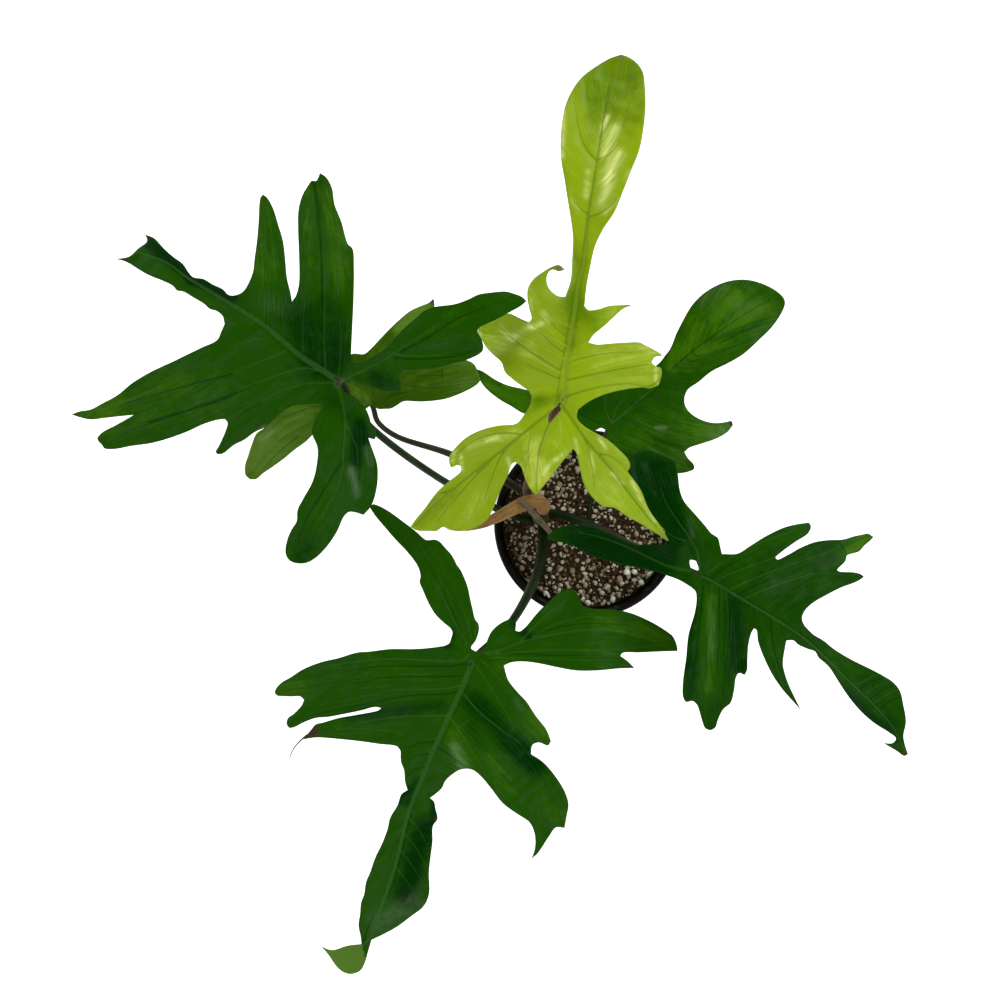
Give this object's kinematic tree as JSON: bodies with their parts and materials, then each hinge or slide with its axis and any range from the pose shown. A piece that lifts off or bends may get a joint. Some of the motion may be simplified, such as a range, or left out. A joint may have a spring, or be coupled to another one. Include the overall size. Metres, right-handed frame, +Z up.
{
  "type": "potted aroid house plant",
  "caption": "Young climbing aroid with deeply lobed green leaves and a lime new leaf, on thin stalks from a short stem, in a round black nursery pot filled with potting mix.",
  "frame": {"origin": "middle of the pot's underside, on the surface that it stands on", "axes": "+Z up along the pot's axis; +X to the right and +Y away, as the plant is seen from straight above with its longest leaf lobe pointing away"},
  "size_m": [0.4363, 0.4724, 0.2548],
  "materials": {
    "pot_plastic": "satin",
    "potting_mix": "matte",
    "stem_green": "matte",
    "leaf_green": "satin",
    "leaf_mid_green": "satin",
    "leaf_lime": "satin",
    "stalk_green": "satin",
    "stalk_brown_green": "satin",
    "stalk_brown": "matte",
    "dry_orange": "matte",
    "dry_grey": "matte"
  },
  "bodies": {
    "root": {"pot": "pot_plastic", "potting_mix": "potting_mix", "stem": "stem_green", "upper_left_blade": "leaf_green", "upper_left_stalk": "stalk_green", "under_left_blade": "leaf_mid_green", "under_left_stalk": "stalk_brown_green", "lime_blade": "leaf_lime", "lime_stalk": "stalk_brown", "back_right_blade": "leaf_green", "back_right_stalk": "stalk_green", "right_blade": "leaf_green", "right_stalk": "stalk_green", "front_blade": "leaf_green", "front_stalk": "stalk_green", "dry_sheath": "dry_orange", "dry_strip": "dry_grey"}
  },
  "joints": []
}
